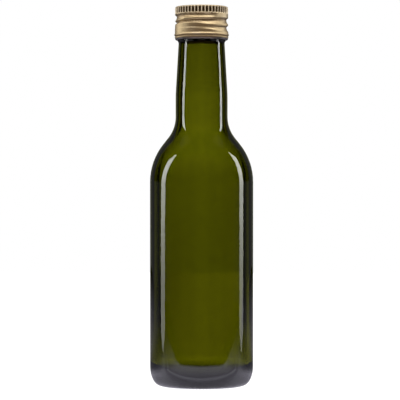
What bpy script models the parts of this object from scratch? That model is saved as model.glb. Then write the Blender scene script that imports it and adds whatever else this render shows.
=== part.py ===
import bpy
import bmesh
from math import asin, atan2, cos, pi, radians, sin
from mathutils import Matrix

# A small green glass bottle with a rolled-on aluminium screw cap.
# Sizes are metres. The axis is Z, and the ring that the bottle stands on is at z = 0.
MM = 0.001

# Bottle, outside
BODY_RADIUS = 27.85 * MM
HEEL_WIDTH = 5.0 * MM              # the heel is a quarter ellipse, from the wall in to the standing ring
HEEL_HEIGHT = 10.0 * MM
SHOULDER_TOP = 144.7 * MM          # where the straight neck turns outwards
SHOULDER_ANGLE = radians(38.6)     # steepest lean of the shoulder from the axis
NECK_BLEND_RADIUS = 18.3 * MM      # hollow curve above the shoulder
SHOULDER_RADIUS = 32.5 * MM        # round curve down to the body
NECK_RADIUS = 14.0 * MM
NECK_TAPER_BASE = 158.0 * MM       # above this height the neck narrows
NECK_TAPER_START = 155.0 * MM      # a short soft turn into the taper
NECK_TAPER_RADIUS = 13.9 * MM
NECK_TOP_RADIUS = 12.38 * MM
NECK_TOP = 184.3 * MM

# Bottle, finish under the cap
COLLAR_RADIUS = 13.1 * MM
COLLAR_EDGE_RADIUS = 12.75 * MM
COLLAR_BASE = 185.2 * MM
COLLAR_WIDEST = (186.8 * MM, 185.8 * MM)
COLLAR_TOP = 187.3 * MM
FINISH_RADIUS = 12.5 * MM
RIM_HEIGHT = 203.3 * MM
RIM_ROUNDING = 0.9 * MM

# Bottle, inside
MOUTH_RADIUS = 9.4 * MM
MOUTH_BASE = 187.0 * MM
NECK_BORE_TOP = 183.0 * MM
NECK_WALL = 2.6 * MM
BODY_WALL = 3.1 * MM
INNER_HEEL_HEIGHT = 9.0 * MM
INNER_HEEL_WIDTH = 8.0 * MM
FLOOR_HEIGHT = 7.5 * MM            # lowest ring of the inner floor
FLOOR_CENTRE_HEIGHT = 10.5 * MM
FLOOR_CROWN_RADIUS = 8.0 * MM      # the floor's crown, beside its middle
FLOOR_CROWN_HEIGHT = 9.9 * MM

# Bottle, underside
STANDING_RING_INNER = 20.6 * MM
PUNT_EDGE = 0.9 * MM
PUNT_HEIGHT = 5.5 * MM
GRIP_BARS = 66
GRIP_NOTCH_WIDTH = 1.0 * MM
GRIP_NOTCH_DEPTH = 0.45 * MM
GRIP_NOTCH_INNER = 21.9 * MM

# Cap
CAP_TOP = 204.0 * MM
CAP_WALL = 0.3 * MM
CAP_EDGE_ROUNDING = 1.0 * MM
KNURL_RADIUS = 14.3 * MM
KNURL_COUNT = 47
KNURL_DEPTH = 0.5 * MM
KNURL_RINGS = (202.6 * MM, 200.6 * MM)   # top and bottom of the pressed-in flutes
KNURL_BASE = 200.3 * MM
THREAD_TOP = 199.8 * MM
THREAD_BASE = 192.7 * MM
THREAD_ROWS = 12
THREAD_PITCH = 3.37 * MM
THREAD_DEPTH = 0.95 * MM
THREAD_HALF_WIDTH = 1.5 * MM
THREAD_START = -0.07               # turns, counted from the front of the bottle
THREAD_END = 2.12
THREAD_START_HEIGHT = 193.0 * MM   # height at the front, on the lowest turn
THREAD_LAST_HEIGHT = 198.8 * MM    # the last turn runs level here
THREAD_FADE = 0.12                 # turns over which the groove deepens or runs out
BAND_RADIUS = 14.42 * MM
BAND_TOP = 192.1 * MM
BAND_BASE = 189.8 * MM
LOW_BEAD_RADIUS = 14.75 * MM
LOW_BEAD_HEIGHT = 188.9 * MM
SCORE_RADIUS = 14.3 * MM
SCORE_HEIGHT = 188.15 * MM
SEAL_BAND_RADIUS = 14.5 * MM
SEAL_BAND_HEIGHTS = (187.75 * MM, 187.2 * MM)
CURL_RADIUS = 13.9 * MM
CURL_START = (14.3 * MM, 186.5 * MM)
CAP_BASE = 186.0 * MM

BOTTLE_SEGMENTS = 44
KNURL_CUTS = 3                     # points between two knurls; the first stays out, as the crest's other edge
TOLERANCE = 0.00001


def arc(centre, radius, start, end, steps):
    # Points (r, z) on a circle from one angle to another, without the first one
    angles = [start + (end - start) * i / steps for i in range(1, steps + 1)]
    return [(centre[0] + radius * cos(a), centre[1] + radius * sin(a)) for a in angles]


def quarter_ellipse(centre, width, height, steps):
    # Points (r, z) from the widest point down to the lowest, without the first one
    angles = [-pi / 2 * i / steps for i in range(1, steps + 1)]
    return [(centre[0] + width * cos(a), centre[1] + height * sin(a)) for a in angles]


def material(name, colour, roughness, metallic, transmission=0.0):
    finish = bpy.data.materials.new(name)
    finish.use_nodes = True
    shader = finish.node_tree.nodes["Principled BSDF"]
    shader.inputs["Base Color"].default_value = colour
    shader.inputs["Roughness"].default_value = roughness
    shader.inputs["Metallic"].default_value = metallic
    shader.inputs["Transmission Weight"].default_value = transmission
    shader.inputs["IOR"].default_value = 1.52
    return finish


def shoulder(neck_radius, body_radius, blend_radius, round_radius, top):
    # From the neck outwards and down to the body: a hollow arc, a straight slope and a round arc
    lean = SHOULDER_ANGLE
    reach = body_radius - neck_radius - (blend_radius + round_radius) * (1 - cos(lean))
    slope_drop = reach / sin(lean) * cos(lean)
    base = top - blend_radius * sin(lean) - slope_drop - round_radius * sin(lean)
    points = [(neck_radius, top)]
    points += arc((neck_radius + blend_radius, top), blend_radius, pi, pi + lean, 5)
    points += [(body_radius - round_radius * (1 - cos(lean)), base + round_radius * sin(lean))]
    points += arc((body_radius - round_radius, base), round_radius, lean, 0, 7)
    return points


def outside_profile():
    # Runs down the outer side, from the rim to the middle of the underside
    rim_centre = (FINISH_RADIUS - RIM_ROUNDING, RIM_HEIGHT - RIM_ROUNDING)
    points = [(FINISH_RADIUS - RIM_ROUNDING, RIM_HEIGHT)]
    points += arc(rim_centre, RIM_ROUNDING, pi / 2, 0, 3)
    points += [(FINISH_RADIUS, COLLAR_TOP)]
    points += [(COLLAR_RADIUS, z) for z in COLLAR_WIDEST]
    points += [(COLLAR_EDGE_RADIUS, COLLAR_BASE), (NECK_TOP_RADIUS, NECK_TOP)]
    points += [(NECK_TAPER_RADIUS, NECK_TAPER_BASE), (NECK_RADIUS, NECK_TAPER_START)]
    points += shoulder(NECK_RADIUS, BODY_RADIUS, NECK_BLEND_RADIUS, SHOULDER_RADIUS, SHOULDER_TOP)
    points += [(BODY_RADIUS, HEEL_HEIGHT)]
    points += quarter_ellipse((BODY_RADIUS - HEEL_WIDTH, HEEL_HEIGHT), HEEL_WIDTH, HEEL_HEIGHT, 7)
    points += [(STANDING_RING_INNER, 0)]
    # The punt is a shallow dome above a short step
    dome_edge = STANDING_RING_INNER - PUNT_EDGE
    dome_rise = PUNT_HEIGHT - PUNT_EDGE
    dome_radius = (dome_edge ** 2 + dome_rise ** 2) / (2 * dome_rise)
    dome_angle = asin(dome_edge / dome_radius)
    points += [(dome_edge, PUNT_EDGE)]
    points += arc((0, PUNT_HEIGHT - dome_radius), dome_radius, pi / 2 - dome_angle, pi / 2, 4)
    return points


def inside_profile():
    # Runs up the inner side, from the middle of the floor to the mouth
    inner_body = BODY_RADIUS - BODY_WALL
    inner_neck = NECK_RADIUS - NECK_WALL
    heel_top = FLOOR_HEIGHT + INNER_HEEL_HEIGHT
    heel = quarter_ellipse((inner_body - INNER_HEEL_WIDTH, heel_top), INNER_HEEL_WIDTH, INNER_HEEL_HEIGHT, 6)
    points = [(0, FLOOR_CENTRE_HEIGHT), (FLOOR_CROWN_RADIUS, FLOOR_CROWN_HEIGHT)]
    points += heel[::-1] + [(inner_body, heel_top)]
    points += shoulder(inner_neck, inner_body, NECK_BLEND_RADIUS + NECK_WALL,
                       SHOULDER_RADIUS - BODY_WALL, SHOULDER_TOP - (BODY_WALL - NECK_WALL))[::-1]
    points += [(inner_neck, NECK_TAPER_BASE), (NECK_TOP_RADIUS - NECK_WALL, NECK_BORE_TOP)]
    points += [(MOUTH_RADIUS, MOUTH_BASE)]
    rim_centre = (MOUTH_RADIUS + RIM_ROUNDING, RIM_HEIGHT - RIM_ROUNDING)
    points += [(MOUTH_RADIUS, RIM_HEIGHT - RIM_ROUNDING)]
    points += arc(rim_centre, RIM_ROUNDING, pi, pi / 2, 2)
    return points


def profile_object(name, points, segments, collection):
    # A profile turned about the axis by a Screw modifier
    mesh = bpy.data.meshes.new(name)
    edges = [(i, i + 1) for i in range(len(points) - 1)]
    mesh.from_pydata([(r, 0, z) for r, z in points], edges, [])
    turned = bpy.data.objects.new(name, mesh)
    collection.objects.link(turned)
    screw = turned.modifiers.new("Turn", "SCREW")
    screw.steps = segments
    screw.render_steps = segments
    screw.use_merge_vertices = True
    screw.merge_threshold = TOLERANCE
    return turned


def grip_cutter(collection):
    # Small boxes round the outer edge of the standing ring, between the grip bars
    mesh = bpy.data.meshes.new("grip_notches")
    boxes = bmesh.new()
    size = (BODY_RADIUS - GRIP_NOTCH_INNER, GRIP_NOTCH_WIDTH, 2 * GRIP_NOTCH_DEPTH)
    place = Matrix.Translation(((BODY_RADIUS + GRIP_NOTCH_INNER) / 2, 0, 0))
    for i in range(GRIP_BARS):
        turn = Matrix.Rotation(2 * pi * (i + 0.5) / GRIP_BARS, 4, "Z")
        bmesh.ops.create_cube(boxes, size=1, matrix=turn @ place @ Matrix.Diagonal((*size, 1)))
    boxes.to_mesh(mesh)
    boxes.free()
    cutter = bpy.data.objects.new("grip_notches", mesh)
    cutter.hide_render = True
    cutter.display_type = "WIRE"
    collection.objects.link(cutter)
    return cutter


def make_bottle(parts, cutters):
    points = inside_profile() + outside_profile()
    bottle = profile_object("bottle", points, BOTTLE_SEGMENTS, parts)
    cut = bottle.modifiers.new("Grip notches", "BOOLEAN")
    cut.operation = "DIFFERENCE"
    cut.solver = "EXACT"
    cut.object = grip_cutter(cutters)
    bottle.data.materials.append(material("green_glass", (0.10, 0.12, 0.01, 1), 0.03, 0.0, 1.0))
    return bottle


def cap_profile():
    # Runs down the outer side, from the middle of the top to the curled lower edge
    corner = (KNURL_RADIUS - CAP_EDGE_ROUNDING, CAP_TOP - CAP_EDGE_ROUNDING)
    points = [(0, CAP_TOP), (corner[0], CAP_TOP)]
    points += arc(corner, CAP_EDGE_ROUNDING, pi / 2, 0, 3)
    points += [(KNURL_RADIUS, z) for z in (*KNURL_RINGS, KNURL_BASE)]
    for i in range(THREAD_ROWS + 1):
        points += [(KNURL_RADIUS, THREAD_TOP + (THREAD_BASE - THREAD_TOP) * i / THREAD_ROWS)]
    points += [(BAND_RADIUS, BAND_TOP), (BAND_RADIUS, BAND_BASE)]
    points += [(LOW_BEAD_RADIUS, LOW_BEAD_HEIGHT), (SCORE_RADIUS, SCORE_HEIGHT)]
    points += [(SEAL_BAND_RADIUS, z) for z in SEAL_BAND_HEIGHTS]
    points += [CURL_START, (CURL_RADIUS, CAP_BASE)]
    return points


def thread_depth(turn, z):
    # How far the groove presses the wall in here. Turn 0 is the front, and turns run anticlockwise
    deepest = 0.0
    for lap in range(-1, 4):
        t = turn + lap
        if not THREAD_START < t < THREAD_END:
            continue
        height = min(THREAD_START_HEIGHT + THREAD_PITCH * t, THREAD_LAST_HEIGHT)
        away = abs(z - height) / THREAD_HALF_WIDTH
        if away < 1:
            fade = min(1, (t - THREAD_START) / THREAD_FADE, (THREAD_END - t) / THREAD_FADE)
            deepest = max(deepest, THREAD_DEPTH * fade * (1 + cos(pi * away)) / 2)
    return deepest


def press_knurls(shell):
    # Both rings of the knurled band get more points, and those between the knurls are pressed in
    def on_ring(vertex):
        return min(abs(vertex.co.z - z) for z in KNURL_RINGS) < TOLERANCE

    ring_edges = [e for e in shell.edges if all(on_ring(v) for v in e.verts)
                  and abs(e.verts[0].co.z - e.verts[1].co.z) < TOLERANCE]
    corners = {v for e in ring_edges for v in e.verts}
    bmesh.ops.subdivide_edges(shell, edges=ring_edges, cuts=KNURL_CUTS)
    bmesh.ops.triangulate(shell, faces=[f for f in shell.faces if len(f.verts) > 4])
    knurl_angle = 2 * pi / KNURL_COUNT
    crest_share = 1.5 / (KNURL_CUTS + 1)
    for vertex in shell.verts:
        if not on_ring(vertex) or vertex in corners:
            continue
        place = (atan2(vertex.co.y, vertex.co.x) / knurl_angle) % 1
        radius = KNURL_RADIUS if place < crest_share else KNURL_RADIUS - KNURL_DEPTH
        vertex.co.xy *= radius / vertex.co.xy.length


def roll_thread(shell):
    for vertex in shell.verts:
        radius = vertex.co.xy.length
        if radius < TOLERANCE:
            continue
        turn = (atan2(vertex.co.y, vertex.co.x) + pi / 2) / (2 * pi)
        vertex.co.xy *= 1 - thread_depth(turn, vertex.co.z) / radius


def make_cap(parts):
    guide = profile_object("screw_cap_profile", cap_profile(), KNURL_COUNT, parts)
    evaluated = guide.evaluated_get(bpy.context.evaluated_depsgraph_get())
    mesh = bpy.data.meshes.new_from_object(evaluated)
    bpy.data.objects.remove(guide)
    shell = bmesh.new()
    shell.from_mesh(mesh)
    press_knurls(shell)
    roll_thread(shell)
    shell.to_mesh(mesh)
    shell.free()
    mesh.name = "screw_cap"
    cap = bpy.data.objects.new("screw_cap", mesh)
    parts.objects.link(cap)
    wall = cap.modifiers.new("Wall", "SOLIDIFY")
    wall.thickness = CAP_WALL
    wall.offset = -1
    mesh.materials.append(material("gold_aluminium", (0.52, 0.42, 0.25, 1), 0.35, 1.0))
    return cap


def main():
    for thing in list(bpy.data.objects):
        bpy.data.objects.remove(thing)
    parts = bpy.data.collections.new("oil_bottle")
    cutters = bpy.data.collections.new("cutters")
    bpy.context.scene.collection.children.link(parts)
    bpy.context.scene.collection.children.link(cutters)
    for piece in (make_bottle(parts, cutters), make_cap(parts)):
        piece.data.shade_smooth()


main()
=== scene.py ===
import bpy
import math
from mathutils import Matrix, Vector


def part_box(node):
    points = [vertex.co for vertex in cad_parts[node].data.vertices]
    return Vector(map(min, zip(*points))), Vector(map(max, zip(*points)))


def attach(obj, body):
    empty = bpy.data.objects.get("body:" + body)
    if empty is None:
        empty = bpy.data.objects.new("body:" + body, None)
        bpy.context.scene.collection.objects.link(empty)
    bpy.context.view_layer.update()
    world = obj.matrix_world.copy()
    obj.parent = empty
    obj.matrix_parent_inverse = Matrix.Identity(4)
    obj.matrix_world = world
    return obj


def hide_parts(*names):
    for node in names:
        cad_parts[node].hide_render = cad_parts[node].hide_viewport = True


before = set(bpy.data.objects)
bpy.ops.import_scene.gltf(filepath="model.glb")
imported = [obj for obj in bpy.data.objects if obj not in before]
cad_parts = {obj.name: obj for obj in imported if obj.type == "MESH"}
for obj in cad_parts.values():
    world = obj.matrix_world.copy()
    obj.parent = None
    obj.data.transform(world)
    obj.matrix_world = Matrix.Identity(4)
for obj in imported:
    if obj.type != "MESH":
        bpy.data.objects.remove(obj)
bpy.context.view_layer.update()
print("frame loaded:", ", ".join(sorted(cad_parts)))

mm = 0.001
hair = 0.001 * mm
bottleLow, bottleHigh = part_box("bottle")
capLow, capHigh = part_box("screw_cap")
bodyRadius = (bottleHigh[0] - bottleLow[0]) / 2
rimHeight = bottleHigh[2]
capTop = capHigh[2]
capBase = capLow[2]


# outlines, as lists of (radius, height)

def roundedPath(corners, angleStep=math.radians(5), longest=8 * mm, guard=0.35 * mm, straight=3.5 * mm):
    # each corner is (radius, height) or (radius, height, rounding)
    path = [tuple(corners[0][:2])]
    for before, corner, after in zip(corners, corners[1:], corners[2:]):
        rounding = corner[2] if len(corner) > 2 else 0
        toBefore = (before[0] - corner[0], before[1] - corner[1])
        toAfter = (after[0] - corner[0], after[1] - corner[1])
        lengthBefore = math.hypot(*toBefore)
        lengthAfter = math.hypot(*toAfter)
        unitBefore = (toBefore[0] / lengthBefore, toBefore[1] / lengthBefore)
        unitAfter = (toAfter[0] / lengthAfter, toAfter[1] / lengthAfter)
        cosine = unitBefore[0] * unitAfter[0] + unitBefore[1] * unitAfter[1]
        inner = math.acos(max(-1, min(1, cosine)))
        if rounding == 0 or inner > math.pi - 0.001:
            path.append((corner[0], corner[1]))
            continue
        reach = rounding / math.tan(inner / 2)
        bisector = (unitBefore[0] + unitAfter[0], unitBefore[1] + unitAfter[1])
        size = math.hypot(*bisector)
        away = rounding / math.sin(inner / 2)
        centre = (corner[0] + bisector[0] / size * away, corner[1] + bisector[1] / size * away)
        start = (corner[0] + unitBefore[0] * reach, corner[1] + unitBefore[1] * reach)
        startAngle = math.atan2(start[1] - centre[1], start[0] - centre[0])
        cross = unitBefore[0] * unitAfter[1] - unitBefore[1] * unitAfter[0]
        turn = (math.pi - inner) * (1 if cross < 0 else -1)
        steps = max(3, math.ceil(abs(turn) / angleStep))
        for step in range(steps + 1):
            angle = startAngle + turn * step / steps
            path.append((centre[0] + rounding * math.cos(angle), centre[1] + rounding * math.sin(angle)))
    path.append(tuple(corners[-1][:2]))
    return withGuards(path, longest, guard, straight)


def withGuards(path, longest, guard, straight):
    # straight runs are split, and get a point close to each end so that smooth shading stays in the bends
    points = [path[0]]
    for (r0, z0), (r1, z1) in zip(path, path[1:]):
        length = math.hypot(r1 - r0, z1 - z0)
        if length < hair:
            continue
        if length > max(4 * guard, straight):
            pieces = max(1, math.ceil((length - 2 * guard) / longest))
            marks = [guard + (length - 2 * guard) * i / pieces for i in range(pieces + 1)]
            points += [(r0 + (r1 - r0) * m / length, z0 + (z1 - z0) * m / length) for m in marks]
        points.append((r1, z1))
    return points


def quarterEllipse(radius, height, width, rise, steps):
    # from the widest point down to the lowest
    angles = [math.pi / 2 * i / steps for i in range(steps + 1)]
    return [(radius + width * math.cos(a), height - rise * math.sin(a)) for a in angles]


def smoothStep(low, high, value):
    share = max(0, min(1, (value - low) / (high - low)))
    return share * share * (3 - 2 * share)


# modelling helpers

def drawOutline(name, points):
    bpy.ops.object.select_all(action="DESELECT")
    bpy.ops.mesh.primitive_plane_add(size=mm, location=(0, 0, 0))
    outline = bpy.context.object
    outline.name = name
    outline.data.name = name
    bpy.ops.object.mode_set(mode="EDIT")
    bpy.ops.mesh.select_all(action="SELECT")
    bpy.ops.mesh.merge(type="CENTER")
    bpy.ops.transform.translate(value=(points[0][0], 0, points[0][1]))
    for (r0, z0), (r1, z1) in zip(points, points[1:]):
        bpy.ops.mesh.extrude_region_move(TRANSFORM_OT_translate={"value": (r1 - r0, 0, z1 - z0)})
    return outline


def spinOutline(name, points, steps):
    # one half outline, spun all the way round the bottle's axis
    turned = drawOutline(name, points)
    bpy.ops.mesh.select_all(action="SELECT")
    bpy.ops.mesh.spin(steps=steps, angle=2 * math.pi, center=(0, 0, 0), axis=(0, 0, 1))
    bpy.ops.mesh.select_all(action="SELECT")
    bpy.ops.mesh.remove_doubles(threshold=hair)
    bpy.ops.mesh.normals_make_consistent(inside=False)
    bpy.ops.object.mode_set(mode="OBJECT")
    bpy.ops.object.shade_smooth()
    return turned


# material helpers

white = (1, 1, 1, 1)


def joined(tree, kind, inputs=None, **settings):
    # adds a node; an input is a number, a colour or another node's output
    node = tree.nodes.new(kind)
    for key, value in settings.items():
        setattr(node, key, value)
    for key, value in (inputs or {}).items():
        if isinstance(value, bpy.types.NodeSocket):
            tree.links.new(value, node.inputs[key])
        else:
            node.inputs[key].default_value = value
    return node


def newMaterial(name):
    finish = bpy.data.materials.new(name)
    finish.use_nodes = True
    return finish, finish.node_tree


def stops(tree, value, marks):
    # a smooth brightness curve through (place, brightness) marks
    ramp = joined(tree, "ShaderNodeFloatCurve", {"Value": value})
    curve = ramp.mapping.curves[0]
    while len(curve.points) < len(marks):
        curve.points.new(0.5, 0.5)
    for point, (place, level) in zip(curve.points, marks):
        point.location = (place, level)
    ramp.mapping.update()
    return ramp.outputs["Value"]


def placeOf(tree):
    # the place on a piece, whole and as x, y and z
    place = joined(tree, "ShaderNodeTexCoord").outputs["Object"]
    return [place] + list(joined(tree, "ShaderNodeSeparateXYZ", {"Vector": place}).outputs)


def mapped(tree, value, low, high, toLow=0.0, toHigh=1.0, kind="LINEAR"):
    ends = {"Value": value, "From Min": low, "From Max": high, "To Min": toLow, "To Max": toHigh}
    return joined(tree, "ShaderNodeMapRange", ends, interpolation_type=kind).outputs["Result"]


def maths(tree, operation, *values):
    return joined(tree, "ShaderNodeMath", dict(enumerate(values)), operation=operation).outputs[0]


def times(tree, first, second):
    return maths(tree, "MULTIPLY", first, second)


def between(tree, share, first, second):
    # a number from the first to the second
    return joined(tree, "ShaderNodeMix", {0: share, 2: first, 3: second}).outputs[0]


def blended(tree, share, first, second):
    # a colour from the first to the second
    return joined(tree, "ShaderNodeMix", {0: share, 6: first, 7: second}, data_type="RGBA").outputs[2]


def noise(tree, place, scale, detail):
    settings = {"Vector": place, "Scale": scale, "Detail": detail}
    return joined(tree, "ShaderNodeTexNoise", settings).outputs["Fac"]


def stretched(tree, place, scale):
    return joined(tree, "ShaderNodeMapping", {"Vector": place, "Scale": scale}).outputs["Vector"]


def roughen(tree, shader, height):
    # heights in metres
    skin = joined(tree, "ShaderNodeBump", {"Height": height, "Strength": 1.0, "Distance": 1.0})
    tree.links.new(skin.outputs["Normal"], shader.inputs["Normal"])


# glass bottle

glass = {
    "spinSteps": 246,                    # three to each bar of the standing ring
    "neckRadius": 14.0 * mm,
    "neckTopRadius": 12.38 * mm,
    "neckTop": 184.5 * mm,
    "taperBase": 156.5 * mm,
    "taperRounding": 90.0 * mm,
    "shoulderTop": 144.7 * mm,
    "shoulderLean": math.radians(38.6),
    "neckBlend": 18.3 * mm,
    "shoulderRounding": 32.5 * mm,
    "heelWidth": 5.0 * mm,
    "heelHeight": 10.0 * mm,
    "finishRadius": 12.5 * mm,
    "finishBase": 187.5 * mm,
    "rimRounding": 0.9 * mm,
    "collarRadius": 13.1 * mm,
    "collarHeights": (185.8 * mm, 187.1 * mm),
    "underCollar": (12.75 * mm, 185.2 * mm, 0.4 * mm),    # radius, height and rounding
    "mouthRadius": 9.4 * mm,
    "mouthBase": 187.0 * mm,
    "mouthRounding": 8.0 * mm,
    "bodyWall": 3.1 * mm,
    "neckWall": 2.6 * mm,
    "innerShoulderRaise": 0.3 * mm,
    "innerTaperBase": 157.0 * mm,
    "innerTaperRounding": 60.0 * mm,
    "innerNeckTop": 183.0 * mm,
    "floorHeight": 7.6 * mm,
    "floorCentre": 10.0 * mm,
    "innerHeelWidth": 5.0 * mm,
    "innerHeelHeight": 5.6 * mm,
    "ringInner": 20.6 * mm,
    "ringRounding": 0.4 * mm,
    "ringStep": (0.9 * mm, 0.9 * mm, 1.0 * mm),    # how far in, height and rounding
    "puntEdge": (1.6 * mm, 1.25 * mm),             # how far in, and height
    "puntHeight": 5.5 * mm,
    "gripBars": 82,
    "gripDepth": 0.65 * mm,
    "gripTop": 1.2 * mm,
    "gripInner": (20.1 * mm, 20.8 * mm),    # radii over which the bars begin
    "gripOuter": (24.3 * mm, 25.5 * mm),    # and end
}


def shoulderCorners(neckRadius, bodyRadius, top, blend, rounding):
    lean = glass["shoulderLean"]
    upper = top - blend * math.tan(lean / 2)
    lower = upper - (bodyRadius - neckRadius) / math.tan(lean)
    return [(neckRadius, upper, blend), (bodyRadius, lower, rounding)]


def outerCorners():
    g = glass
    collarBase, collarTop = g["collarHeights"]
    corners = [
        (g["finishRadius"], rimHeight, g["rimRounding"]),
        (g["finishRadius"], g["finishBase"], 0.2 * mm),
        (g["collarRadius"], collarTop, 0.3 * mm),
        (g["collarRadius"], collarBase, 0.5 * mm),
        g["underCollar"],
        (g["neckTopRadius"], g["neckTop"], 1.2 * mm),
        (g["neckRadius"], g["taperBase"], g["taperRounding"]),
    ]
    return corners + shoulderCorners(g["neckRadius"], bodyRadius, g["shoulderTop"], g["neckBlend"],
                                     g["shoulderRounding"])


def innerCorners():
    g = glass
    neck = g["neckRadius"] - g["neckWall"]
    body = bodyRadius - g["bodyWall"]
    corners = shoulderCorners(neck, body, g["shoulderTop"] + g["innerShoulderRaise"],
                              g["neckBlend"] + g["neckWall"], g["shoulderRounding"] - g["bodyWall"])
    return corners[::-1] + [
        (neck, g["innerTaperBase"], g["innerTaperRounding"]),
        (g["neckTopRadius"] - g["neckWall"], g["innerNeckTop"], g["mouthRounding"]),
        (g["mouthRadius"], g["mouthBase"], g["mouthRounding"]),
        (g["mouthRadius"], rimHeight, g["rimRounding"]),
    ]


def glassOutline():
    # from the middle of the floor up the inside, over the rim, down the outside and in under the base
    g = glass
    innerRadius = bodyRadius - g["bodyWall"] - g["innerHeelWidth"]
    heelTop = g["floorHeight"] + g["innerHeelHeight"]
    innerHeel = quarterEllipse(innerRadius, heelTop, g["innerHeelWidth"], g["innerHeelHeight"], 24)
    edge = innerHeel[-1]
    floor = []
    floorSteps = 12
    for i in range(floorSteps):
        share = i / floorSteps
        lift = (g["floorCentre"] - g["floorHeight"]) * (1 + math.cos(math.pi * share)) / 2
        floor.append((edge[0] * share, edge[1] + lift))
    outerRadius = bodyRadius - g["heelWidth"]
    outerHeel = quarterEllipse(outerRadius, g["heelHeight"], g["heelWidth"], g["heelHeight"], 28)
    walls = roundedPath([innerHeel[0]] + innerCorners() + outerCorners() + [outerHeel[0]])
    ring = g["ringInner"]
    stepIn, stepHeight, stepRounding = g["ringStep"]
    puntIn, puntLow = g["puntEdge"]
    dome = roundedPath([
        outerHeel[-1],
        (ring, 0, g["ringRounding"]),
        (ring - stepIn, stepHeight, stepRounding),
        (ring - puntIn, puntLow),
    ])
    domeEdge = dome[-1]
    punt = []
    puntSteps = 14
    for i in range(1, puntSteps + 1):
        share = 1 - i / puntSteps
        lift = (g["puntHeight"] - domeEdge[1]) * (1 - share ** 2)
        punt.append((domeEdge[0] * share, domeEdge[1] + lift))
    return floor + innerHeel[::-1] + walls[1:] + outerHeel[1:] + dome[1:] + punt


def glassMaterial():
    look = {
        "tint": (0.62, 0.64, 0.32, 1),
        "absorption": (0.635, 0.64, 0.05, 1),
        "density": 900.0,
        "refraction": 1.52,
        "waveScale": (28.0, 28.0, 9.0),      # slow waves of blown glass, longer up the bottle
        "waveHeight": 0.012 * mm,
        "seedScale": 260.0,                  # small ripples in the skin
        "seedHeight": 0.0006 * mm,
    }
    finish, tree = newMaterial("oliveGlass")
    shader = tree.nodes["Principled BSDF"]
    place = placeOf(tree)[0]
    waves = noise(tree, stretched(tree, place, look["waveScale"]), 1.0, 2.0)
    ripples = noise(tree, place, look["seedScale"], 3.0)
    slow = times(tree, waves, look["waveHeight"])
    fine = times(tree, ripples, look["seedHeight"])
    roughen(tree, shader, maths(tree, "ADD", slow, fine))
    shader.inputs["Base Color"].default_value = look["tint"]
    shader.inputs["Roughness"].default_value = 0.0
    shader.inputs["IOR"].default_value = look["refraction"]
    shader.inputs["Transmission Weight"].default_value = 1.0
    volume = {"Color": look["absorption"], "Density": look["density"]}
    inside = joined(tree, "ShaderNodeVolumeAbsorption", volume)
    tree.links.new(inside.outputs["Volume"], tree.nodes["Material Output"].inputs["Volume"])
    return finish


def cutGripBars(bottle):
    # the ring that the bottle stands on is cut into fine bars
    g = glass
    for vertex in bottle.data.vertices:
        x, y, z = vertex.co
        radius = math.hypot(x, y)
        if z > g["gripTop"]:
            continue
        reach = smoothStep(*g["gripInner"], radius) * (1 - smoothStep(*g["gripOuter"], radius))
        wave = max(0, math.cos(g["gripBars"] * (math.atan2(y, x) + math.pi / 2)))
        vertex.co.z = z + g["gripDepth"] * reach * wave


def buildBottle():
    bottle = spinOutline("glassBottle", glassOutline(), glass["spinSteps"])
    cutGripBars(bottle)
    bottle.data.materials.append(glassMaterial())
    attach(bottle, "root")
    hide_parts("bottle")
    print("bottle blown:", len(bottle.data.polygons), "faces")
    return bottle


# aluminium cap

cap = {
    "knurls": 47,
    "columnsPerKnurl": 8,
    "knurlRadius": 14.3 * mm,
    "knurlDepth": 0.7 * mm,
    "knurlHeights": (200.1 * mm, 203.35 * mm),
    "knurlFade": (0.15 * mm, 0.25 * mm),     # outside and inside those heights
    "wall": 0.3 * mm,
    "threadPitch": 3.37 * mm,
    "threadDepth": 0.95 * mm,
    "threadAbove": 1.05 * mm,                # the groove's short steep side, which faces down
    "threadBelow": 2.35 * mm,                # its long side, which faces up
    "lastBelow": 1.5 * mm,                   # the long side at the groove's upper end
    "shortShare": 0.4,                       # how much of the long side is left where it is short
    "shortUntil": (0.02, 0.2),               # turns in which it grows long
    "shortAgain": (0.5, 0.62),               # turns in which it grows short again
    "longAgain": (0.93, 1.06),               # and long for good
    "startDip": (0.95 * mm, 0.15, 0.2),      # depth, middle and half length in turns of a sag at the start
    "threadFront": 192.65 * mm,
    "threadLast": 199.0 * mm,
    "threadTurns": (-0.12, 2.12),
    "threadStart": 0.4,                      # turns in which the groove gets deep
    "threadFade": 0.12,                      # and runs out
    "topRounding": 1.0 * mm,
    "wallBase": 192.4 * mm,
    "bandRadius": 14.42 * mm,
    "bandTop": 191.9 * mm,
    "bandBase": 189.45 * mm,
    "beadRadius": 14.75 * mm,
    "beadHeights": (188.5 * mm, 188.93 * mm),
    "scoreRadius": 14.12 * mm,
    "scoreHeight": 187.95 * mm,
    "sealRadius": 14.5 * mm,
    "sealHeights": (187.35 * mm, 187.6 * mm),
    "curlRadius": 13.9 * mm,
    "curlTop": 186.25 * mm,
}


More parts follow.
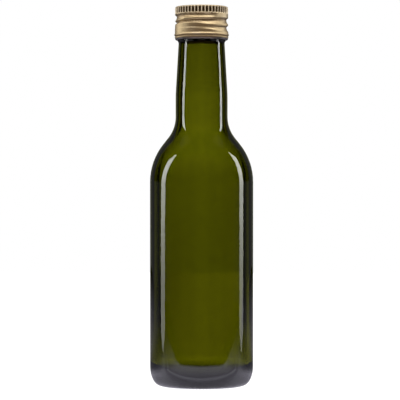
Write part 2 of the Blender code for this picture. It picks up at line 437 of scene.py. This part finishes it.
def capOutline():
    # from the middle of the top, out and down to the curled edge
    c = cap
    beadBase, beadTop = c["beadHeights"]
    sealBase, sealTop = c["sealHeights"]
    corners = [
        (0, capTop),
        (c["knurlRadius"], capTop, c["topRounding"]),
        (c["knurlRadius"], c["wallBase"], 1.0 * mm),
        (c["bandRadius"], c["bandTop"], 1.0 * mm),
        (c["bandRadius"], c["bandBase"], 0.15 * mm),
        (c["beadRadius"], beadTop, 0.2 * mm),
        (c["beadRadius"], beadBase, 0.35 * mm),
        (c["scoreRadius"], c["scoreHeight"], 0.1 * mm),
        (c["sealRadius"], sealTop, 0.15 * mm),
        (c["sealRadius"] - 0.02 * mm, sealBase, 0.2 * mm),
        (c["curlRadius"] + 0.22 * mm, c["curlTop"], 0.2 * mm),
        (c["curlRadius"] - 0.1 * mm, capBase),
    ]
    path = roundedPath(corners, math.radians(18), 0.3 * mm, 0.1 * mm, 0)
    rimStart = c["knurlRadius"] - 1.2 * mm
    discRadii = [rimStart * share for share in (0, 0.12, 0.35, 0.6, 0.8, 0.95)]
    disc = [(radius, capTop) for radius in discRadii]
    return disc + [point for point in path if point[0] > rimStart or point[1] < capTop - hair]


def knurlDepth(angle, height):
    c = cap
    share = (angle / (2 * math.pi) * c["knurls"]) % 1
    crest = max(0, math.cos(2 * math.pi * (share - 0.25)))
    flute = 1 - crest ** 0.8
    low, high = c["knurlHeights"]
    outside, inside = c["knurlFade"]
    length = smoothStep(low - outside, low + inside, height)
    length *= 1 - smoothStep(high - inside, high + outside, height)
    return c["knurlDepth"] * flute * length


def longSide(turn, centre):
    # how far the groove's flank reaches below its middle
    c = cap
    if centre < c["threadLast"]:
        reach = c["threadBelow"]
    else:
        reach = c["lastBelow"]
    short = smoothStep(*c["shortAgain"], turn) * (1 - smoothStep(*c["longAgain"], turn))
    short = max(short, 1 - smoothStep(*c["shortUntil"], turn))
    return reach * (1 - (1 - c["shortShare"]) * short)


def threadDepth(angle, height):
    # turn 0 is at the front of the bottle, and turns run anticlockwise, upwards
    c = cap
    first, last = c["threadTurns"]
    dip, middle, halfLength = c["startDip"]
    depth = 0
    for lap in range(-1, 4):
        turn = (angle + math.pi / 2) / (2 * math.pi) + lap
        if not first < turn < last:
            continue
        centre = min(c["threadFront"] + c["threadPitch"] * turn, c["threadLast"])
        centre -= dip * max(0, 1 - ((turn - middle) / halfLength) ** 2)
        if height > centre:
            away = (height - centre) / c["threadAbove"]
            groove = smoothStep(0, 1, 1 - away)
        else:
            away = (centre - height) / longSide(turn, centre)
            groove = 1 - away ** 2.4
        if away < 1:
            fade = smoothStep(0, 1, min((turn - first) / c["threadStart"], (last - turn) / c["threadFade"]))
            depth = max(depth, c["threadDepth"] * fade * groove)
    return depth


def capMaterial():
    look = {
        "gold": (0.62, 0.475, 0.27, 1),
        "worn": (0.72, 0.62, 0.45, 1),
        "dark": (0.045, 0.026, 0.012, 1),        # painted shade deep in the knurled slots
        "crest": (0.86, 0.74, 0.56, 1),          # painted highlight, pale on each knurl's crest
        "groove": (0.2, 0.12, 0.07, 1),          # painted shade in the rolled thread groove and the scored line
        "inside": (0.78, 0.77, 0.74, 1),         # the pale coat inside the cap
        "bare": (0.5, 0.45, 0.45, 1),            # at the curled edge, which the lacquer doesn't reach
        "bareHeights": (186.7 * mm, 187.1 * mm),
        "bareRoughness": 0.24,
        "satin": (0.36, 0.46),                   # lowest and highest roughness
        "metal": (0.93, 0.45),                   # how metallic it is, plain and on each knurl's crest, where it is lowered so that the painted highlight shows
        "scoreHeight": 188.0 * mm,
        "cloudScale": 120.0,
        "grainScale": (900.0, 900.0, 5200.0),    # turning marks run round the cap
        "grainHeight": 0.0035 * mm,
    }
    finish, tree = newMaterial("goldAluminium")
    shader = tree.nodes["Principled BSDF"]
    place, _, _, height = placeOf(tree)
    clouds = noise(tree, place, look["cloudScale"], 4.0)
    grain = noise(tree, stretched(tree, place, look["grainScale"]), 1.0, 2.0)
    pressed = joined(tree, "ShaderNodeAttribute", attribute_name="pressedIn").outputs["Fac"]
    rolled = joined(tree, "ShaderNodeAttribute", attribute_name="rolledIn").outputs["Fac"]

    colour = blended(tree, mapped(tree, clouds, 0.5, 0.7, 0.0, 0.45), look["gold"], look["worn"])
    low, high = cap["knurlHeights"]
    band = times(tree, mapped(tree, height, low - 0.3 * mm, low + 0.2 * mm),
                 mapped(tree, height, high - 0.2 * mm, high + 0.3 * mm, 1.0, 0.0))
    # painted highlight on each knurl's crest, within the knurled band
    crestHighlight = times(tree, band, mapped(tree, pressed, 0.0, 0.45, 1.0, 0.0))
    colour = blended(tree, crestHighlight, colour, look["crest"])
    # painted shade in the knurl slots, darkest where they are pressed deepest
    colour = blended(tree, mapped(tree, pressed, 0.35, 0.9, 0.0, 0.92), colour, look["dark"])
    # painted shade along the scored line and deep in the rolled thread groove
    fromScore = maths(tree, "ABSOLUTE", maths(tree, "SUBTRACT", height, look["scoreHeight"]))
    scored = mapped(tree, fromScore, 0.1 * mm, 0.35 * mm, 0.8, 0.0)
    deep = maths(tree, "MAXIMUM", mapped(tree, rolled, 0.75, 1.0, 0.0, 0.6), scored)
    colour = blended(tree, deep, colour, look["groove"])
    curl = mapped(tree, height, *look["bareHeights"], 1.0, 0.0)
    colour = blended(tree, curl, colour, look["bare"])
    inside = mapped(tree, pressed, -0.6, -0.4, 1.0, 0.0)
    colour = blended(tree, inside, colour, look["inside"])
    tree.links.new(colour, shader.inputs["Base Color"])

    sheen = between(tree, curl, mapped(tree, grain, 0.3, 0.7, *look["satin"]), look["bareRoughness"])
    tree.links.new(sheen, shader.inputs["Roughness"])
    roughen(tree, shader, times(tree, grain, look["grainHeight"]))
    metal = between(tree, inside, mapped(tree, crestHighlight, 0.0, 1.0, *look["metal"]), 0.0)
    tree.links.new(metal, shader.inputs["Metallic"])
    return finish


def storeValues(piece, name, values):
    piece.data.attributes.new(name, "FLOAT", "POINT")
    piece.data.attributes[name].data.foreach_set("value", values)


def buildCap():
    shell = spinOutline("screwCap", capOutline(), cap["knurls"] * cap["columnsPerKnurl"])
    for vertex in shell.data.vertices:
        x, y, z = vertex.co
        radius = math.hypot(x, y)
        if radius < mm:
            continue
        angle = math.atan2(y, x)
        pressed = 1 - (knurlDepth(angle, z) + threadDepth(angle, z)) / radius
        vertex.co = (x * pressed, y * pressed, z)
    outerCount = len(shell.data.vertices)
    wall = shell.modifiers.new("wall", "SOLIDIFY")
    wall.thickness = cap["wall"]
    wall.offset = -1
    bpy.ops.object.modifier_apply(modifier="wall")
    bpy.ops.object.shade_smooth()
    # how deep each point is pressed and rolled, for the material's painted shade in the slots and groove and
    # painted highlight on each knurl's crest; -1 marks the inner wall
    slots = []
    rolls = []
    for vertex in shell.data.vertices:
        x, y, z = vertex.co
        angle = math.atan2(y, x)
        slots.append(knurlDepth(angle, z) / cap["knurlDepth"])
        rolls.append(threadDepth(angle, z) / cap["threadDepth"])
    slots[outerCount:] = [-1] * (len(slots) - outerCount)
    storeValues(shell, "pressedIn", slots)
    storeValues(shell, "rolledIn", rolls)
    shell.data.materials.append(capMaterial())
    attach(shell, "root")
    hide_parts("screw_cap")
    print("cap pressed and rolled:", len(shell.data.polygons), "faces")
    return shell


# studio

studio = {
    "pixel": 0.5405 * mm,          # real size of one photo pixel at the bottle
    "cameraPixels": 1725,          # camera distance in photo pixels
    "horizonRow": 166.0,           # photo row at the camera's height
    "baseRow": 384.6,              # photo row of the table under the bottle's axis
    "axisColumn": 201.6,           # photo column of the bottle's axis
    "photoSide": 400,
    "filmWidth": 36,
    "panelDistance": 1.0,
    "panelHalfAngle": math.radians(15.6),
    "panelHeight": 0.7,
    "panelBelow": 0.02,            # how far the panel reaches below the table
    "cornerHalfAngle": math.radians(7),
    "cornerLevel": 0.6,
    "darkLevel": 0.02,             # between the bright patches
    "tableFront": -0.16,
    "tableBack": 0.98,
    "tableHalfWidth": 0.6,
    "tableTint": (0.88, 0.85, 1.0, 1),
    "tableSeen": 1.2,
    "tableGlow": 2.2,
    "tableSides": (0.9, 2.2),      # left and right, as seen through the glass
    "tableBehind": 1.45,           # more light right behind the bottle, through the glass
    "stripDistance": 0.2,
    "stripTop": 0.265,
    "stripGlow": 7.6,
    "leftStrip": {"middle": 90.2, "halfAngle": 6.2, "lean": -13},
    "rightStrip": {"middle": 93.5, "halfAngle": 6.0, "lean": -1},
    "sideSheets": {"azimuth": 100, "distance": 0.45, "size": (0.52, 0.6), "middle": 0.42, "glow": 1.4},
    "frontSheet": {"centre": (0, -0.24, 0.65), "size": (1.4, 0.34), "glow": 3.0},
    "topLight": {"centre": (0, 0.25, 0.75), "size": (0.54, 0.34), "glow": 1.5},
    "roomGlow": (0.08, 0.09),      # in front and behind
    "warmRoom": (1.0, 0.5, 0.12, 1),   # the dim room in front, as the cap reflects it
    "throughGlass": 0.9,           # what surrounds the set, as seen through the glass
}

# brightness curves, each a row of (place, brightness)
backdropUp = [(0.0, 0.55), (0.06, 0.55), (0.2, 0.61), (0.31, 0.68), (0.45, 0.62), (0.6, 0.47), (1.0, 0.45)]
tableAcross = [(0.0, 0.9), (0.2, 0.95), (0.3, 0.6), (0.35, 0.36), (0.425, 0.25), (0.59, 0.1), (1.0, 0.02)]
tableAlong = [(0.0, 0.8), (0.4, 0.75), (0.49, 0.66), (0.52, 0.6), (0.543, 1.0), (0.566, 0.6), (0.61, 0.85),
              (0.667, 0.6), (0.723, 0.36), (0.8, 0.15), (0.877, 0.06), (1.0, 0.0)]
tableFrontEdge = [(0.0, 0.74), (0.075, 0.725), (0.15, 0.68), (0.22, 0.6), (0.25, 0.57), (0.34, 0.54),
                  (0.475, 0.55), (0.6, 0.485), (0.7, 0.42), (1.0, 0.2)]
stripUp = [(0.0, 0.28), (0.12, 0.27), (0.25, 0.4), (0.37, 0.62), (0.6, 0.95), (1.0, 1.0)]


def rayIs(tree, kind):
    return joined(tree, "ShaderNodeLightPath").outputs["Is " + kind + " Ray"]


def byRay(tree, camera, reflected, through):
    # one strength for what the camera sees, one for reflections and one for what shows through glass
    unseen = between(tree, rayIs(tree, "Transmission"), reflected, through)
    return between(tree, rayIs(tree, "Camera"), unseen, camera)


def emissive(name, strength, unseenThroughGlass=False, tint=white):
    # the strength is a number, or a function that makes it in the material
    finish, tree = newMaterial(name)
    tree.nodes.clear()
    level = strength(tree) if callable(strength) else strength
    # the tint colours what the pieces mirror, and the panel itself looks white
    colour = blended(tree, rayIs(tree, "Camera"), tint, white)
    light = joined(tree, "ShaderNodeEmission", {"Color": colour, "Strength": level}).outputs["Emission"]
    if unseenThroughGlass:
        clear = joined(tree, "ShaderNodeBsdfTransparent").outputs["BSDF"]
        choice = {0: rayIs(tree, "Transmission"), 1: light, 2: clear}
        light = joined(tree, "ShaderNodeMixShader", choice).outputs["Shader"]
    joined(tree, "ShaderNodeOutputMaterial", {"Surface": light})
    return finish


def patches(tree, x, y):
    # seen through the glass, the set is bright behind the bottle from each of eight sides, and dark between
    around = maths(tree, "ARCTAN2", x, y)
    wide = patchRow(tree, around, 0.0, studio["panelHalfAngle"], 1.0)
    narrow = patchRow(tree, around, math.pi / 4, studio["cornerHalfAngle"], studio["cornerLevel"])
    return maths(tree, "MAXIMUM", wide, narrow)


def patchRow(tree, around, first, halfAngle, level):
    # bright within halfAngle of every quarter turn from the first direction
    turned = maths(tree, "ADD", around, math.pi / 4 - first)
    wrapped = maths(tree, "WRAP", turned, math.pi / 2, 0.0)
    away = maths(tree, "ABSOLUTE", maths(tree, "SUBTRACT", wrapped, math.pi / 4))
    return mapped(tree, away, halfAngle - 0.01, halfAngle + 0.02, level, studio["darkLevel"])


def addCamera():
    s = studio
    distance = s["cameraPixels"] * s["pixel"]
    height = (s["baseRow"] - s["horizonRow"]) * s["pixel"]
    sideways = -(s["axisColumn"] - s["photoSide"] / 2) * s["pixel"]
    tilt = math.atan((s["photoSide"] / 2 - s["horizonRow"]) / s["cameraPixels"])
    turn = (math.pi / 2 - tilt, 0, 0)
    bpy.ops.object.camera_add(location=(sideways, -distance, height), rotation=turn)
    camera = bpy.context.object
    camera.data.sensor_width = s["filmWidth"]
    camera.data.lens = s["filmWidth"] * s["cameraPixels"] / s["photoSide"]
    camera.data.clip_start = 0.01
    bpy.context.scene.camera = camera


def addPanel(name, centre, size, turn, material):
    bpy.ops.mesh.primitive_plane_add(size=1, location=centre, rotation=turn)
    panel = bpy.context.object
    panel.name = name
    panel.scale = (size[0], size[1], 1)
    bpy.ops.object.transform_apply(location=True, rotation=True, scale=True)
    panel.data.materials.append(material)
    return panel


def lightOnly(lights, name, piece):
    # these lights fall on one piece alone
    lit = bpy.data.collections.new(name)
    lit.objects.link(piece)
    for light in lights:
        light.light_linking.receiver_collection = lit


def backdropStrength(tree):
    _, x, _, z = placeOf(tree)
    halfWidth = studio["panelDistance"] * math.tan(studio["panelHalfAngle"])
    tilt = mapped(tree, z, 0.0, 0.2, 0.12, -0.12)
    across = maths(tree, "MULTIPLY_ADD", times(tree, x, 1 / halfWidth), tilt, 1.0)
    up = stops(tree, mapped(tree, z, 0.0, 0.4), backdropUp)
    return byRay(tree, 1.0, 0.0, times(tree, across, times(tree, up, 2.0)))


def tableStrength(tree):
    # mirrored, it is bright in front of the bottle, up to the table's curved front edge, and dim at the back
    place, x, y, _ = placeOf(tree)
    away = joined(tree, "ShaderNodeVectorMath", {0: place}, operation="LENGTH").outputs["Value"]
    side = mapped(tree, maths(tree, "ABSOLUTE", x), 0.0, 0.4)
    across = stops(tree, side, tableAcross)
    along = stops(tree, mapped(tree, y, -0.2, 0.1), tableAlong)
    reach = times(tree, stops(tree, side, tableFrontEdge), 0.2)
    onTable = mapped(tree, maths(tree, "ADD", y, reach), 0.0, 0.02, kind="SMOOTHSTEP")
    front = times(tree, times(tree, across, along), times(tree, onTable, studio["tableGlow"]))
    back = times(tree, mapped(tree, away, 0.35, 1.0, 0.2, 0.0), mapped(tree, y, 0.02, 0.15))
    # painted shadow of the bottle on the table, under it and a little in front of its foot
    under = mapped(tree, away, 0.018, 0.026, 0.35, 1.0)
    near = times(tree, mapped(tree, away, 0.028, 0.045, 0.6, 0.0), mapped(tree, y, -0.024, -0.006))
    lit = times(tree, under, maths(tree, "SUBTRACT", 1.0, near))
    mirrored = times(tree, maths(tree, "ADD", front, back), lit)

    # seen through the glass, it fades into the bright patches far from the bottle
    patched = between(tree, mapped(tree, away, 0.1, 0.42), 1.0, patches(tree, x, y))
    # painted shadow under the bottle, as seen through the glass
    below = mapped(tree, away, 0.0215, 0.027, 0.12, 1.0)
    behind = mapped(tree, away, 0.06, 0.13, studio["tableBehind"], 1.0)
    sides = mapped(tree, x, -0.2, 0.2, *studio["tableSides"])
    through = times(tree, times(tree, patched, times(tree, below, behind)), sides)
    return byRay(tree, studio["tableSeen"], mirrored, through)


def stripStrength(tree):
    height = placeOf(tree)[3]
    glow = stops(tree, mapped(tree, height, 0.0, studio["stripTop"]), stripUp)
    return byRay(tree, 0.0, times(tree, glow, studio["stripGlow"]), 0.0)


def addBackdrop():
    s = studio
    width = 2 * s["panelDistance"] * math.tan(s["panelHalfAngle"])
    centre = (0, s["panelDistance"], s["panelHeight"] / 2 - s["panelBelow"])
    glow = emissive("whitePanel", backdropStrength)
    addPanel("backdrop", centre, (width, s["panelHeight"]), (math.pi / 2, 0, 0), glow)


def addTable():
    s = studio
    size = (2 * s["tableHalfWidth"], s["tableBack"] - s["tableFront"])
    centre = (0, (s["tableBack"] + s["tableFront"]) / 2, -0.2 * mm)
    glow = emissive("paleTable", tableStrength, tint=s["tableTint"])
    addPanel("floor", centre, size, (0, 0, 0), glow)


def addStrip(name, side, glow):
    # a tall light beside the bottle, which leans towards its top and tapers at its foot
    s = studio
    light = s[name]
    middle = side * math.radians(light["middle"])
    lean = side * math.radians(light["lean"])
    distance = s["stripDistance"]
    width = 2 * distance * math.tan(math.radians(light["halfAngle"]))
    panel = addPanel(name, (0, 0, 0), (width, s["stripTop"]), (math.pi / 2, 0, 0), glow)
    bpy.ops.object.mode_set(mode="EDIT")
    bpy.ops.mesh.select_all(action="SELECT")
    bpy.ops.mesh.subdivide(number_cuts=19)
    bpy.ops.object.mode_set(mode="OBJECT")
    for vertex in panel.data.vertices:
        across, _, up = vertex.co
        share = up / s["stripTop"] + 0.5
        turned = middle + lean * max(0, share - 0.3)
        slant = 1 - 0.28 * side * across / width if share > 0.9 else 1
        across *= min(1, 0.12 + share / 0.055)
        vertex.co = (distance * math.sin(turned) + across * math.cos(turned),
                     -distance * math.cos(turned) + across * math.sin(turned),
                     share * s["stripTop"] * slant)
    panel.visible_camera = False
    return panel


def addCapSheets(screwCap):
    # broad pale sheets that the satin cap reflects
    sides = studio["sideSheets"]
    front = studio["frontSheet"]
    angle = math.radians(sides["azimuth"])
    sheets = []
    for name, side in (("leftSheet", -1), ("rightSheet", 1)):
        centre = (side * sides["distance"] * math.sin(angle), -sides["distance"] * math.cos(angle),
                  sides["middle"])
        glow = emissive(name + "Glow", sides["glow"], True)
        sheets.append(addPanel(name, centre, sides["size"], (math.pi / 2, 0, side * angle), glow))
    glow = emissive("frontSheetGlow", front["glow"], True)
    sheets.append(addPanel("frontSheet", front["centre"], front["size"], (0, 0, 0), glow))
    for sheet in sheets:
        sheet.visible_camera = False
    lightOnly(sheets, "capAlone", screwCap)


def addTopLight():
    top = studio["topLight"]
    glow = emissive("topGlow", top["glow"], True)
    panel = addPanel("topLight", top["centre"], top["size"], (0, 0, 0), glow)
    panel.visible_camera = False


def addWorld():
    world = bpy.data.worlds.new("studio")
    bpy.context.scene.world = world
    world.use_nodes = True
    tree = world.node_tree
    background = tree.nodes["Background"]
    direction = joined(tree, "ShaderNodeTexCoord").outputs["Generated"]
    x, y, _ = joined(tree, "ShaderNodeSeparateXYZ", {"Vector": direction}).outputs
    room = mapped(tree, y, -0.6, 0.9, *studio["roomGlow"])
    around = between(tree, rayIs(tree, "Diffuse"), room, 1.0)
    through = times(tree, patches(tree, x, y), studio["throughGlass"])
    tree.links.new(byRay(tree, 1.0, around, through), background.inputs["Strength"])
    # only what a surface mirrors is warm, and only from the front
    kinds = {0: rayIs(tree, "Glossy"), 1: rayIs(tree, "Transmission")}
    mirrored = joined(tree, "ShaderNodeMath", kinds, operation="SUBTRACT", use_clamp=True).outputs[0]
    front = times(tree, mirrored, mapped(tree, y, -0.3, 0.2, 1.0, 0.0))
    tree.links.new(blended(tree, front, white, studio["warmRoom"]), background.inputs["Color"])


def addStudio(glassBottle, screwCap):
    addBackdrop()
    addTable()
    glow = emissive("stripLight", stripStrength, True)
    strips = [addStrip("leftStrip", -1, glow), addStrip("rightStrip", 1, glow)]
    lightOnly(strips, "bottleAlone", glassBottle)
    addCapSheets(screwCap)
    addTopLight()
    addWorld()
    scene = bpy.context.scene
    scene.view_settings.view_transform = "Standard"
    scene.cycles.max_bounces = 24
    scene.cycles.transmission_bounces = 24
    print("studio set")


glassBottle = buildBottle()
screwCap = buildCap()
addCamera()
addStudio(glassBottle, screwCap)
